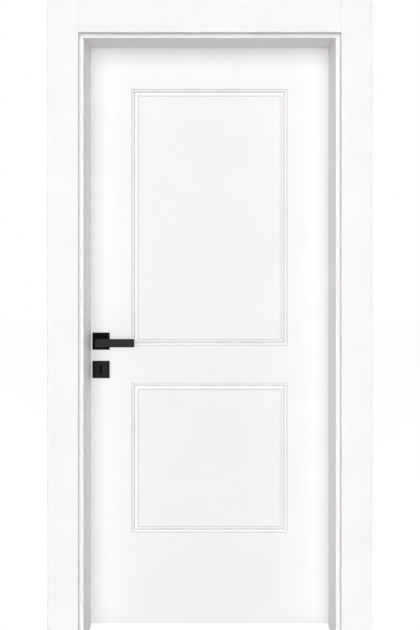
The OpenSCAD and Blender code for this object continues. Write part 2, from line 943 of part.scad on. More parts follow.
// Sprung latch with its slope on the front side, and a heel that the follower's finger pulls back
module latch_bolt() {
  tip = -leaf_x - latch_throw;
  heel_x = lever_x + finger_w / 2 + push_play;
  color(steel) {
    translate([0, mid_y, latch_z - latch_h / 2]) linear_extrude(latch_h) polygon([
      [tip, latch_w / 2], [tip, latch_w / 2 - latch_nose], [tip + latch_throw, -latch_w / 2],
      [latch_head_x1, -latch_w / 2], [latch_head_x1, latch_w / 2]
    ]);
    translate([0, mid_y, latch_z]) rod_x(shank_d, latch_head_x1 - cut, heel_x + heel_l);
    span([heel_x, heel_x + heel_l], [mid_y - heel_w / 2, mid_y + heel_w / 2],
      [lever_z + heel_low, latch_z + heel_w / 2]);
  }
}

// Dead bolt, drawn back, with the slot for its guide post and the notch that the key works in
module dead_bolt() {
  head_x1 = bolt_guide - leaf_x;
  post_x = lever_x - post_before;
  slot_d = post_d + 2 * slip;
  color(steel) {
    span([-leaf_x, head_x1], [mid_y - latch_w / 2, mid_y + latch_w / 2], [bolt_z - bolt_h / 2, bolt_z + bolt_h / 2]);
    difference() {
      span([head_x1 - cut, lever_x + bolt_tail_end], [mid_y - bolt_tail_t / 2, mid_y + bolt_tail_t / 2],
        [key_z + talon_rise, bolt_z + bolt_tail_h / 2]);
      translate([post_x, 0, bolt_z]) rod_y(slot_d, case_y0, case_y1);
      translate([post_x + bolt_throw, 0, bolt_z]) rod_y(slot_d, case_y0, case_y1);
      span([post_x, post_x + bolt_throw], [case_y0, case_y1], [bolt_z - slot_d / 2, bolt_z + slot_d / 2]);
      span([lever_x - talon_w / 2, lever_x + talon_w / 2], [case_y0, case_y1],
        [key_z + talon_rise - cut, key_z + talon_rise + talon_h]);
    }
  }
}

// The square hole for the spindle
module spindle_hole(from, to) {
  half = spindle_w / 2 + run_play;
  span([-half, half], [from, to], [-half, half]);
}

// Hub with a finger up for the latch and a finger down for the return spring
module follower() {
  inner = [case_y0 + case_wall + face_play, case_y1 - case_wall - face_play];
  color(steel) at_lever() difference() {
    union() {
      rod_y(hub_d, inner[0], inner[1]);
      rod_y(hub_journal_d, case_y0, case_y1);
      span([-finger_w / 2, finger_w / 2], [mid_y - finger_t / 2, mid_y + finger_t / 2], [-finger_r, finger_r]);
      for (z = [-finger_r, finger_r])
        translate([0, 0, z]) rod_y(finger_w, mid_y - finger_t / 2, mid_y + finger_t / 2);
    }
    spindle_hole(case_y0 - cut, case_y1 + cut);
  }
}

module spindle() {
  color(steel) at_lever()
    span([-spindle_w / 2, spindle_w / 2], [leaf_y - spindle_in, back_y + spindle_in], [-spindle_w / 2, spindle_w / 2]);
}

// Rounded rectangle around the origin
module rounded_rect(w, h, r) {
  square([w - 2 * r, h], center = true);
  square([w, h - 2 * r], center = true);
  for (x = [r - w / 2, w / 2 - r], y = [r - h / 2, h / 2 - r]) translate([x, y]) circle(r);
}

// Rectangle around the origin with its corners cut at 45 degrees
module cut_rect(w, h, c) {
  polygon([
    [c - w / 2, -h / 2], [w / 2 - c, -h / 2], [w / 2, c - h / 2], [w / 2, h / 2 - c],
    [w / 2 - c, h / 2], [c - w / 2, h / 2], [-w / 2, h / 2 - c], [-w / 2, c - h / 2]
  ]);
}

// Flat bar with broken edges, centred on the origin
module lever_bar() {
  intersection() {
    along_y(-lever_t / 2, lever_t / 2) rounded_rect(lever_l, lever_h, bar_round);
    along_x(-lever_l / 2, lever_l / 2) cut_rect(lever_t, lever_h, bar_edge);
    translate([0, 0, -lever_h / 2]) linear_extrude(lever_h) cut_rect(lever_l, lever_t, bar_edge);
  }
}

module front_lever() {
  bar_y = leaf_y - lever_out + lever_t / 2;
  journal_y = leaf_y - cut;
  color(black_metal) at_lever() difference() {
    union() {
      translate([lever_l / 2 - lever_heel, bar_y, 0]) lever_bar();
      rod_y(neck_d, bar_y, leaf_y - plate_hollow);
      rod_y(journal_d, bar_y, journal_y);
    }
    spindle_hole(leaf_y - socket_in, leaf_y);
    translate([0, leaf_y - grub_out, -neck_d]) cylinder(d = grub_d + 2 * run_play, h = neck_d);
  }
}

module back_lever() {
  to_back() front_lever();
}

module front_grub_screw() {
  grub_l = (neck_d - spindle_w) / 2 - slip;
  at_lever() translate([0, leaf_y - grub_out, -spindle_w / 2 - grub_l]) cylinder(d = grub_d, h = grub_l);
}

module grub_screws() {
  color(steel) {
    front_grub_screw();
    to_back() front_grub_screw();
  }
}

// Square plate with a bevelled border, standing off the leaf's front face
module bevelled_plate() {
  side = plate_w / 2;
  outline = [
    [-side, 0], [side, 0], [side, plate_h - bevel_h], [side - bevel_w, plate_h],
    [bevel_w - side, plate_h], [-side, plate_h - bevel_h]
  ];
  translate([0, leaf_y, 0]) mirror([0, 1, 0]) intersection() {
    translate([0, 0, -side]) linear_extrude(plate_w) polygon(outline);
    along_x(-side, side) polygon([for (p = outline) [p[1], p[0]]]);
  }
}

// Hollow cover over a base plate
module plate_cover() {
  hollow = plate_w / 2 - plate_rim;
  color(black_metal) difference() {
    bevelled_plate();
    span([-hollow, hollow], [leaf_y - plate_hollow, leaf_y + cut], [-hollow, hollow]);
    children();
  }
}

module plate_base() {
  color(steel) difference() {
    span([-base_w / 2, base_w / 2], [leaf_y - base_t, leaf_y], [-base_w / 2, base_w / 2]);
    children();
  }
}

module front_rosette_cover() {
  at_lever() plate_cover() rod_y(neck_d + 2 * slip, leaf_y - plate_h - cut, leaf_y);
}

module front_key_cover() {
  at_key() plate_cover() along_y(leaf_y - plate_h - cut, leaf_y) keyhole(0);
}

module rosette_base() {
  at_lever() plate_base() rod_y(journal_d + 2 * run_play, leaf_y - base_t - cut, leaf_y + cut);
}

module front_rosette_base() {
  difference() {
    rosette_base();
    rosette_bolt_places() screw_hole(rosette_bolt_d, small_head_d, rosette_bolt_l);
  }
}

module back_rosette_base() {
  difference() {
    to_back() rosette_base();
    rosette_bolt_places() screw_hole(rosette_bolt_d, small_head_d, rosette_bolt_l);
  }
}

module rosette_bolt_places() {
  at_lever() fix_places() translate([0, leaf_y - base_t, 0]) rotate([90, 0, 0]) children();
}

module rosette_bolts() {
  color(steel) rosette_bolt_places() screw(rosette_bolt_d, small_head_d, rosette_bolt_l);
}

module front_key_base() {
  difference() {
    at_key() plate_base() along_y(leaf_y - base_t - cut, leaf_y + cut) keyhole(slip);
    key_screw_places() screw_hole(key_screw_d, key_screw_head, key_screw_l);
  }
}

module back_rosette_cover() { to_back() front_rosette_cover(); }
module back_key_cover() { to_back() front_key_cover(); }
module back_key_base() { to_back() front_key_base(); }

module key_base_screws() {
  color(steel) {
    key_screw_places() screw(key_screw_d, key_screw_head, key_screw_l);
    to_back() key_screw_places() screw(key_screw_d, key_screw_head, key_screw_l);
  }
}

left_jamb();
right_jamb();
head_jamb();
left_stop();
right_stop();
head_stop();
front_left_casing();
front_right_casing();
front_head_casing();
back_left_casing();
back_right_casing();
back_head_casing();
left_seal();
right_seal();
head_seal();
corner_screws();
strike_plate();
strike_screws();
top_hinge_frame_plate();
mid_hinge_frame_plate();
bottom_hinge_frame_plate();
top_hinge_pin();
mid_hinge_pin();
bottom_hinge_pin();
hinge_frame_screws();
front_skin();
back_skin();
lock_stile();
hinge_stile();
top_rail();
bottom_rail();
lock_block();
tubular_core();
top_hinge_leaf_plate();
mid_hinge_leaf_plate();
bottom_hinge_leaf_plate();
hinge_leaf_screws();
lock_case();
lock_cover();
lock_forend();
forend_screws();
latch_spring();
lever_spring();
front_rosette_base();
back_rosette_base();
front_rosette_cover();
back_rosette_cover();
rosette_bolts();
front_key_base();
back_key_base();
front_key_cover();
back_key_cover();
key_base_screws();
front_lever();
back_lever();
spindle();
follower();
grub_screws();
latch_bolt();
dead_bolt();
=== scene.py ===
import json
import math
import bpy
from mathutils import Matrix, Vector

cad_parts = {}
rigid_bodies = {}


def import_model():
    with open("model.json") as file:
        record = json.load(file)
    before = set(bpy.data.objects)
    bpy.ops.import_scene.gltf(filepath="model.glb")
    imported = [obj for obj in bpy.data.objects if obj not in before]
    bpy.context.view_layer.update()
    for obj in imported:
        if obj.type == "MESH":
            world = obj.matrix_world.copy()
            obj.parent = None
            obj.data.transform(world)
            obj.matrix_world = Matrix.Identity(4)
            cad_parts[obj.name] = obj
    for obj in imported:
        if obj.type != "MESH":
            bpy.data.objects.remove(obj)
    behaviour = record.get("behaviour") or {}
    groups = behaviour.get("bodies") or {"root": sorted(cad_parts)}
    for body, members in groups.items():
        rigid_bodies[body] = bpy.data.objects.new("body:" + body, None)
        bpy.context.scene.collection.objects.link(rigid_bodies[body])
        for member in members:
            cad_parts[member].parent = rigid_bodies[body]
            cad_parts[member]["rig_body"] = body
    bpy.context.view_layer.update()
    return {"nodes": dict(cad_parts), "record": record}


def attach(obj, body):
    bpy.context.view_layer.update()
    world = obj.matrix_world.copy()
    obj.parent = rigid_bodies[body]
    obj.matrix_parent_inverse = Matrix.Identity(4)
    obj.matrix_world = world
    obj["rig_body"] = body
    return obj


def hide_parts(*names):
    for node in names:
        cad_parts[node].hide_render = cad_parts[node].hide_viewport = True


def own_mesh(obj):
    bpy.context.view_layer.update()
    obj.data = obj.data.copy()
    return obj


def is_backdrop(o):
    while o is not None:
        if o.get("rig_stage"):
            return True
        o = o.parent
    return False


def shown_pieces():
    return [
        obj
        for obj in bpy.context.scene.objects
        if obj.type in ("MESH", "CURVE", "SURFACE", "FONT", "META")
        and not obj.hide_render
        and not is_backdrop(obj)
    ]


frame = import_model()
cad = frame["nodes"]
scene = bpy.context.scene
slotOf = {part["node"]: part["material_slot"] for part in frame["record"]["subparts"]}
bodyOf = {node: cad[node]["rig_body"] for node in cad}
print("frame loaded,", len(cad), "CAD nodes")


# small tools that every piece uses

mergeReach = 2e-6                         # points closer than this are one point
flatWithin = 0.2                          # faces that turn less than this many degrees are one face


def clearSelection():
    bpy.ops.object.select_all(action="DESELECT")


def makeActive(piece):
    clearSelection()
    piece.select_set(True)
    bpy.context.view_layer.objects.active = piece


def applyModifiers(piece):
    makeActive(piece)
    for modifier in list(piece.modifiers):
        bpy.ops.object.modifier_apply(modifier=modifier.name)


def smoothByAngle(piece, degrees):
    makeActive(piece)
    bpy.ops.object.shade_smooth_by_angle(angle=math.radians(degrees), keep_sharp_edges=False)
    even = piece.modifiers.new("evenShade", "WEIGHTED_NORMAL")   # flats stay flat beside small curves
    even.mode = "FACE_AREA"
    even.keep_sharp = True
    applyModifiers(piece)


def mergeDoubles(piece):
    makeActive(piece)
    bpy.ops.object.mode_set(mode="EDIT")
    bpy.ops.mesh.select_all(action="SELECT")
    bpy.ops.mesh.remove_doubles(threshold=mergeReach)
    bpy.ops.object.mode_set(mode="OBJECT")


def copyNode(node, name):                 # a merged copy of a CAD node, with its flat faces made whole
    piece = bpy.data.objects.new(name, cad[node].data.copy())
    scene.collection.objects.link(piece)
    makeActive(piece)
    bpy.ops.mesh.customdata_custom_splitnormals_clear()
    bpy.ops.object.mode_set(mode="EDIT")
    bpy.ops.mesh.select_all(action="SELECT")
    bpy.ops.mesh.remove_doubles(threshold=mergeReach)
    bpy.ops.mesh.dissolve_limited(angle_limit=math.radians(flatWithin))
    bpy.ops.object.mode_set(mode="OBJECT")
    return piece


def meshBox(piece):                       # the low and high end of a mesh on each axis
    columns = zip(*(vertex.co for vertex in piece.data.vertices))
    return [(min(column), max(column)) for column in columns]


def setMaterial(piece, material):
    piece.data.materials.clear()
    piece.data.materials.append(material)


def finishPiece(piece, node, material):   # the piece stands for the node and rides where it rode
    setMaterial(piece, material)
    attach(piece, bodyOf[node])
    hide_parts(node)


# materials

def newMaterial(name):
    material = bpy.data.materials.new(name)
    material.use_nodes = True
    tree = material.node_tree
    return material, tree.nodes, tree.links, tree.nodes["Principled BSDF"]


def objectCoords(nodes, links, stretch):  # Object coordinates, stretched along the grain
    coords = nodes.new("ShaderNodeTexCoord")
    mapping = nodes.new("ShaderNodeMapping")
    mapping.inputs["Scale"].default_value = stretch
    links.new(coords.outputs["Object"], mapping.inputs["Vector"])
    return mapping.outputs["Vector"]


def noiseNode(nodes, links, vector, scale, detail, roughness=0.5):
    noise = nodes.new("ShaderNodeTexNoise")
    noise.inputs["Scale"].default_value = scale
    noise.inputs["Detail"].default_value = detail
    noise.inputs["Roughness"].default_value = roughness
    links.new(vector, noise.inputs["Vector"])
    return noise.outputs["Fac"]


def twoTone(nodes, links, factor, first, second, low=0.35, high=0.65):
    ramp = nodes.new("ShaderNodeValToRGB")
    ramp.color_ramp.elements[0].position = low
    ramp.color_ramp.elements[1].position = high
    ramp.color_ramp.elements[0].color = (*first, 1)
    ramp.color_ramp.elements[1].color = (*second, 1)
    links.new(factor, ramp.inputs["Fac"])
    return ramp.outputs["Color"]


def spread(nodes, links, factor, low, high):   # a 0 to 1 pattern, turned into a range of values
    span = nodes.new("ShaderNodeMapRange")
    span.inputs["To Min"].default_value = low
    span.inputs["To Max"].default_value = high
    links.new(factor, span.inputs["Value"])
    return span.outputs["Result"]


def addBump(nodes, links, shader, height, strength, distance):
    bump = nodes.new("ShaderNodeBump")
    bump.inputs["Strength"].default_value = strength
    bump.inputs["Distance"].default_value = distance
    links.new(height, bump.inputs["Height"])
    links.new(bump.outputs["Normal"], shader.inputs["Normal"])


def coatedMaterial(name, look):           # a coat: mottle in colour and gloss, fine peel
    material, nodes, links, shader = newMaterial(name)
    vector = objectCoords(nodes, links, look["stretch"])
    mottle = noiseNode(nodes, links, vector, look["mottleScale"], look["mottleDetail"])
    fine = noiseNode(nodes, links, vector, look["peelScale"], look["peelDetail"])
    links.new(twoTone(nodes, links, mottle, look["dark"], look["light"]), shader.inputs["Base Color"])
    links.new(spread(nodes, links, mottle, *look["roughness"]), shader.inputs["Roughness"])
    addBump(nodes, links, shader, fine, look["peelStrength"], look["peelDepth"])
    shader.inputs["Metallic"].default_value = look["metallic"]
    shader.inputs["Specular IOR Level"].default_value = look["specular"]
    return material


lacquerLook = {
    "stretch": (1, 1, 1), "mottleScale": 7.0, "mottleDetail": 4,
    "dark": (0.872, 0.860, 0.866), "light": (0.890, 0.878, 0.884), "roughness": (0.42, 0.54),
    "peelScale": 420.0, "peelDetail": 2, "peelStrength": 0.12, "peelDepth": 0.0002,
    "metallic": 0.0, "specular": 0.14,
}
barLook = {
    "stretch": (1, 1, 1), "mottleScale": 60.0, "mottleDetail": 4,
    "dark": (0.017, 0.017, 0.018), "light": (0.022, 0.022, 0.023), "roughness": (0.46, 0.60),
    "peelScale": 2600.0, "peelDetail": 3, "peelStrength": 0.25, "peelDepth": 0.00006,
    "metallic": 0.0, "specular": 0.08,
}
# painted shade: the rosette cover's face is made darker than the other black parts, standing in for the
# lever's shadow on it
rosetteLeverShadeLook = dict(barLook, dark=(0.0020, 0.0020, 0.0022), light=(0.0030, 0.0030, 0.0032), specular=0.03)
# painted light: a lighter copy of the rosette's black for its border, which stands clear of the lever's
# shadow
borderLessShadedLook = dict(barLook, dark=(0.0048, 0.0048, 0.0050), light=(0.0062, 0.0062, 0.0064), specular=0.03)
plateLook = dict(barLook, dark=(0.0105, 0.0105, 0.011), light=(0.0140, 0.0140, 0.0145))
hingeLook = dict(barLook, specular=0.25)
sealLook = {
    "stretch": (1, 1, 0.2), "mottleScale": 30.0, "mottleDetail": 4,
    "dark": (0.62, 0.61, 0.59), "light": (0.68, 0.67, 0.65), "roughness": (0.62, 0.75),
    "peelScale": 900.0, "peelDetail": 3, "peelStrength": 0.2, "peelDepth": 0.0001,
    "metallic": 0.0, "specular": 0.3,
}
forendLook = {
    "stretch": (60, 60, 1), "mottleScale": 14.0, "mottleDetail": 4,
    "dark": (0.50, 0.50, 0.51), "light": (0.62, 0.62, 0.62), "roughness": (0.28, 0.42),
    "peelScale": 40.0, "peelDetail": 4, "peelStrength": 0.15, "peelDepth": 0.00004,
    "metallic": 1.0, "specular": 0.5,
}
zincLook = {
    "stretch": (1, 1, 1), "mottleScale": 180.0, "mottleDetail": 4,
    "dark": (0.46, 0.47, 0.50), "light": (0.62, 0.63, 0.64), "roughness": (0.30, 0.50),
    "peelScale": 900.0, "peelDetail": 3, "peelStrength": 0.15, "peelDepth": 0.00005,
    "metallic": 1.0, "specular": 0.5,
}
# near-black steel: the grub screws' own colour, and painted shade for the lock's inner parts seen through
# the keyhole
keyholeShadeSteelLook = dict(barLook, dark=(0.0020, 0.0020, 0.0021), light=(0.0045, 0.0044, 0.0043), specular=0.04)


def pineMaterial(look):                   # growth rings run along the piece's height
    material, nodes, links, shader = newMaterial("barePine")
    vector = objectCoords(nodes, links, look["stretch"])
    wave = nodes.new("ShaderNodeTexWave")
    wave.bands_direction = "X"
    wave.inputs["Scale"].default_value = look["ringScale"]
    wave.inputs["Distortion"].default_value = look["ringWander"]
    wave.inputs["Detail"].default_value = look["ringDetail"]
    links.new(vector, wave.inputs["Vector"])
    away = nodes.new("ShaderNodeVectorMath")     # painted shade: the wood round the keyhole is darkened so that the keyhole reads black
    away.operation = "DISTANCE"
    away.inputs[1].default_value = look["oilAt"]
    links.new(objectCoords(nodes, links, look["oilPlane"]), away.inputs[0])
    keyholeShadeFactor = nodes.new("ShaderNodeMapRange")
    keyholeShadeFactor.inputs["From Min"].default_value = look["oilR"][0]
    keyholeShadeFactor.inputs["From Max"].default_value = look["oilR"][1]
    keyholeShadeFactor.inputs["To Min"].default_value = look["oilShade"]
    links.new(away.outputs["Value"], keyholeShadeFactor.inputs["Value"])
    shaded = nodes.new("ShaderNodeVectorMath")
    shaded.operation = "SCALE"
    rings = twoTone(nodes, links, wave.outputs["Fac"], look["late"], look["early"], *look["ringRamp"])
    links.new(rings, shaded.inputs["Vector"])
    links.new(keyholeShadeFactor.outputs["Result"], shaded.inputs["Scale"])
    links.new(shaded.outputs["Vector"], shader.inputs["Base Color"])
    fibre = noiseNode(nodes, links, vector, look["fibreScale"], look["fibreDetail"])
    links.new(spread(nodes, links, fibre, *look["roughness"]), shader.inputs["Roughness"])
    addBump(nodes, links, shader, fibre, look["fibreStrength"], look["fibreDepth"])
    return material


def chipMaterial(look):                   # flakes of two browns, pressed flat
    material, nodes, links, shader = newMaterial("bareChipboard")
    vector = objectCoords(nodes, links, look["stretch"])
    flakes = nodes.new("ShaderNodeTexVoronoi")
    flakes.inputs["Scale"].default_value = look["flakeScale"]
    links.new(vector, flakes.inputs["Vector"])
    pattern = flakes.outputs["Distance"]
    browns = twoTone(nodes, links, pattern, look["light"], look["dark"], *look["flakeRamp"])
    links.new(browns, shader.inputs["Base Color"])
    shader.inputs["Roughness"].default_value = look["roughness"]
    addBump(nodes, links, shader, pattern, look["flakeStrength"], look["flakeDepth"])
    return material


pineLook = {
    "stretch": (1, 1, 0.12), "ringScale": 60.0, "ringWander": 3.0, "ringDetail": 3, "ringRamp": (0.1, 0.8),
    "late": (0.43, 0.26, 0.13), "early": (0.66, 0.48, 0.29), "roughness": (0.55, 0.75),
    "fibreScale": 300.0, "fibreDetail": 5, "fibreStrength": 0.3, "fibreDepth": 0.0004,
    # painted shade round the keyhole: its plane, centre, reach and darkness
    "oilPlane": (1, 0, 1), "oilAt": (-0.383, 0.0, 0.908), "oilR": (0.022, 0.034), "oilShade": 0.02,
}
chipLook = {
    "stretch": (1, 1, 2.5), "flakeScale": 240.0, "flakeRamp": (0.15, 0.6), "roughness": 0.8,
    "light": (0.58, 0.43, 0.26), "dark": (0.30, 0.20, 0.11), "flakeStrength": 0.5, "flakeDepth": 0.0006,
}

whiteLacquer = coatedMaterial("whiteLacquer", lacquerLook)
blackBar = coatedMaterial("blackBar", barLook)
blackRosette = coatedMaterial("blackRosette", rosetteLeverShadeLook)
blackBorder = coatedMaterial("blackBorder", borderLessShadedLook)
blackPlate = coatedMaterial("blackPlate", plateLook)
blackHinge = coatedMaterial("blackHinge", hingeLook)
sealRubber = coatedMaterial("sealRubber", sealLook)
brushedForend = coatedMaterial("brushedForend", forendLook)
zincPlate = coatedMaterial("zincPlate", zincLook)
oiledSteel = coatedMaterial("oiledSteel", keyholeShadeSteelLook)
barePine = pineMaterial(pineLook)
bareChipboard = chipMaterial(chipLook)
finishOf = {"white_lacquer": whiteLacquer, "black_metal": blackHinge, "steel": zincPlate,
            "gasket": sealRubber, "raw_wood": barePine, "chipboard": bareChipboard}
for node in cad:
    setMaterial(cad[node], finishOf[slotOf[node]])
for node in ("lock_case", "lock_cover", "front_key_base", "back_key_base", "follower"):
    setMaterial(cad[node], oiledSteel)    # painted shade: near-black, so that the keyhole reads dark
print("materials made")


# pieces that show: a merged copy of each node, its arrises eased, its curves smooth

def easeEdges(piece, width, segments, angle):
    bevel = piece.modifiers.new("easedArris", "BEVEL")
    bevel.width = width
    bevel.segments = segments
    bevel.limit_method = "ANGLE"
    bevel.angle_limit = math.radians(angle)
    bevel.use_clamp_overlap = True
    applyModifiers(piece)


def easeOuter(piece, look):               # rounds the arrises round a piece's outer face
    box = meshBox(piece)
    outer = box[1][0] if piece.name.startswith("front") else box[1][1]
    makeActive(piece)
    bpy.ops.object.mode_set(mode="EDIT")
    bpy.ops.mesh.select_mode(type="EDGE")
    bpy.ops.mesh.select_all(action="DESELECT")
    bpy.ops.object.mode_set(mode="OBJECT")
    for edge in piece.data.edges:
        ends = [piece.data.vertices[index].co for index in edge.vertices]
        atSide = any(all(abs(point[axis] - side) < look["touch"] for point in ends)
                     for axis in look["axes"] for side in box[axis])
        edge.select = atSide and all(abs(point.y - outer) < look["deep"] for point in ends)
    bpy.ops.object.mode_set(mode="EDIT")
    bpy.ops.mesh.bevel(offset=look["arris"], segments=look["segments"], affect="EDGES", clamp_overlap=True)
    bpy.ops.object.mode_set(mode="OBJECT")


def pieceName(node):
    words = node.split("_")
    return words[0] + "".join(word.capitalize() for word in words[1:])


def refineNodes(nodes, look, material):
    refined = []
    for node in nodes:
        piece = copyNode(node, pieceName(node))
        if "axes" in look:
            easeOuter(piece, look)
        elif "arris" in look:
            easeEdges(piece, look["arris"], look["segments"], look["over"])
        mergeDoubles(piece)               # a bevel can leave faces without width
        smoothByAngle(piece, look["smooth"])
        finishPiece(piece, node, material)
        refined.append(piece)
    return refined


def paintBorderLessShaded(piece, material, flat):    # the sloping border and the sides take a lighter copy of the face's black: painted light, less painted shade than the face
    piece.data.materials.append(material)
    for face in piece.data.polygons:
        if abs(face.normal.y) < flat:
            face.material_index = 1


skinEdges = {"arris": 0.0010, "segments": 2, "axes": (0, 2), "deep": 0.00001, "touch": 0.00001,
             "smooth": 16}
headEdges = {"arris": 0.0015, "segments": 2, "axes": (0,), "deep": 0.006, "touch": 0.00001, "smooth": 32}
stopEdges = {"arris": 0.0006, "segments": 2, "over": 60, "smooth": 30}
casingEdges = {"smooth": 32}
leverEdges = {"arris": 0.0007, "segments": 3, "over": 40, "smooth": 32}
coverEdges = {"arris": 0.0003, "segments": 2, "over": 12, "smooth": 20, "flat": 0.985}
hingeEdges = {"arris": 0.0003, "segments": 2, "over": 40, "smooth": 32}
sealEdges = {"smooth": 40}
lockEdges = {"arris": 0.0003, "segments": 2, "over": 40, "smooth": 32}
hingePlaces = ("top", "mid", "bottom")

refineNodes(["front_skin", "back_skin"], skinEdges, whiteLacquer)
refineNodes(["left_stop", "right_stop", "head_stop"], stopEdges, whiteLacquer)
refineNodes(["left_jamb", "right_jamb", "head_jamb"], casingEdges, whiteLacquer)
refineNodes([f"{face}_{side}_casing" for face in ("front", "back") for side in ("left", "right")],
            casingEdges, whiteLacquer)
refineNodes(["front_head_casing", "back_head_casing"], headEdges, whiteLacquer)
refineNodes(["front_lever", "back_lever"], leverEdges, blackBar)
# painted shade on the rosette covers: a darker face for the lever's shadow, a lighter border
for cover in refineNodes(["front_rosette_cover", "back_rosette_cover"], coverEdges, blackRosette):
    paintBorderLessShaded(cover, blackBorder, coverEdges["flat"])
refineNodes(["front_key_cover", "back_key_cover"], coverEdges, blackPlate)
refineNodes([f"{place}_hinge_{half}_plate" for place in hingePlaces for half in ("frame", "leaf")],
            hingeEdges, blackHinge)
refineNodes([f"{place}_hinge_pin" for place in hingePlaces], hingeEdges, blackHinge)
refineNodes(["left_seal", "right_seal", "head_seal"], sealEdges, sealRubber)
refineNodes(["strike_plate", "lock_forend", "latch_bolt", "dead_bolt"], lockEdges, brushedForend)
print("pieces refined")


# springs: each is a merged, smoothed copy with a mesh of its own; the table gives each its joint and fixed
# end

springLooks = {
    "latch_spring": {"joint": "latch_slide", "fixed": (-0.3970, 0.0615, 1.0430), "keep": 0.44,
                     "smooth": 50},
    "lever_spring": {"joint": "lever_turn", "fixed": (-0.4275, 0.0615, 0.9900), "keep": 0.67,
                     "smooth": 50},
}
for node, look in springLooks.items():
    for spring in refineNodes([node], look, zincPlate):
        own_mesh(spring)
print("springs made")


# screws: one of each kind is modelled, then copied to every place of its node

sameReach = 1e-5                          # ends and radii closer than this are the same


def extrudeOn(drop, grow):                # carries the selected end on, and widens or narrows it
    bpy.ops.mesh.extrude_region_move(TRANSFORM_OT_translate={"value": (0, 0, -drop)})
    bpy.ops.transform.resize(value=(grow, grow, 1), center_override=(0, 0, 0))


def runThread(look, turns):               # ridges of the thread
    for turn in range(turns):
        extrudeOn(look["pitch"] / 2, look["rootShare"])
        extrudeOn(look["pitch"] / 2, 1 / look["rootShare"])


def closeShell():                         # all faces look outwards
    bpy.ops.mesh.select_all(action="SELECT")
    bpy.ops.mesh.normals_make_consistent(inside=False)
    bpy.ops.object.mode_set(mode="OBJECT")


def cutRecess(piece, cutter):
    recess = piece.modifiers.new("recess", "BOOLEAN")
    recess.operation = "DIFFERENCE"
    recess.solver = "EXACT"
    recess.object = cutter
    applyModifiers(piece)
    bpy.data.objects.remove(cutter)


def modelScrew(look):                     # countersunk, head at the origin, tip down, with a cross recess
    headR, shankR, length = look["headR"], look["shankR"], look["length"]
    land, headH = headR * look["landShare"], headR - shankR
    clearSelection()
    bpy.ops.mesh.primitive_circle_add(vertices=look["sides"], radius=headR, fill_type="NGON")
    screw = bpy.context.active_object
    bpy.ops.object.mode_set(mode="EDIT")
    extrudeOn(land, 1.0)
    extrudeOn(headH - land, shankR / headR)
    turns = int((length - headH - shankR) / look["pitch"])
    runThread(look, turns)
    extrudeOn(length - headH - turns * look["pitch"], look["tipShare"])
    closeShell()
    for turned in (0, math.pi / 2):       # the two slots of the cross
        clearSelection()
        bpy.ops.mesh.primitive_cube_add(size=1)
        cutter = bpy.context.active_object
        cutter.scale = [headR * share for share in look["slotShares"]]
        cutter.rotation_euler = (0, 0, turned)
        cutRecess(screw, cutter)
    return screw


def modelGrub(look):                      # headless, open end at the origin, with a hexagon socket
    shankR, length, endShare = look["shankR"], look["length"], look["endShare"]
    slant = shankR * look["slantShare"]
    clearSelection()
    bpy.ops.mesh.primitive_circle_add(vertices=look["sides"], radius=shankR * endShare, fill_type="NGON")
    grub = bpy.context.active_object
    bpy.ops.object.mode_set(mode="EDIT")
    extrudeOn(slant, 1 / endShare)
    turns = int((length - 2 * slant) / look["pitch"])
    runThread(look, turns)
    extrudeOn(length - slant - turns * look["pitch"], look["tipShare"])
    closeShell()
    clearSelection()
    bpy.ops.mesh.primitive_cylinder_add(vertices=look["socketSides"], radius=look["socketR"],
                                        depth=look["socketDeep"] * 2)
    cutRecess(grub, bpy.context.active_object)
    return grub


def reachAt(points, middle, axis, end):   # widest distance from the axis at one end of a screw
    across = [other for other in range(3) if other != axis]
    return max(math.hypot(*(point[other] - middle[other] for other in across))
               for point in points if abs(point[axis] - end) < sameReach)


def screwPlaces(node):                    # head centre, direction and sizes of each screw of a node
    copyNode(node, "islands")
    bpy.ops.object.mode_set(mode="EDIT")
    bpy.ops.mesh.select_all(action="SELECT")
    bpy.ops.mesh.separate(type="LOOSE")
    bpy.ops.object.mode_set(mode="OBJECT")
    places = []
    for island in list(bpy.context.selected_objects):
        points = [vertex.co.copy() for vertex in island.data.vertices]
        low, high = (Vector(corner) for corner in zip(*meshBox(island)))
        size = high - low
        axis = max(range(3), key=lambda which: size[which])
        middle = (low + high) / 2
        lowR = reachAt(points, middle, axis, low[axis])
        highR = reachAt(points, middle, axis, high[axis])
        headHigh = highR > lowR + sameReach
        headR, shankR = (highR, lowR) if headHigh else (lowR, highR)
        head = middle.copy()
        head[axis] = high[axis] if headHigh else low[axis]
        into = Vector((0, 0, 0))
        into[axis] = -1.0 if headHigh else 1.0
        places.append({"head": head, "into": into, "headR": headR, "shankR": shankR, "length": size[axis]})
        bpy.data.objects.remove(island)
    return places


def placeScrews(node, name, model, look, material):
    places = screwPlaces(node)
    master = model(dict(look, **{key: places[0][key] for key in ("headR", "shankR", "length")}))
    copies = []
    for place in places:
        copy = bpy.data.objects.new(name, master.data.copy())
        scene.collection.objects.link(copy)
        turn = Vector((0, 0, -1)).rotation_difference(place["into"]).to_matrix().to_4x4()
        copy.data.transform(Matrix.Translation(place["head"]) @ turn)
        copies.append(copy)
    bpy.data.objects.remove(master)
    makeActive(copies[0])
    for copy in copies:
        copy.select_set(True)
    bpy.ops.object.join()
    smoothByAngle(copies[0], look["smooth"])
    finishPiece(copies[0], node, material)


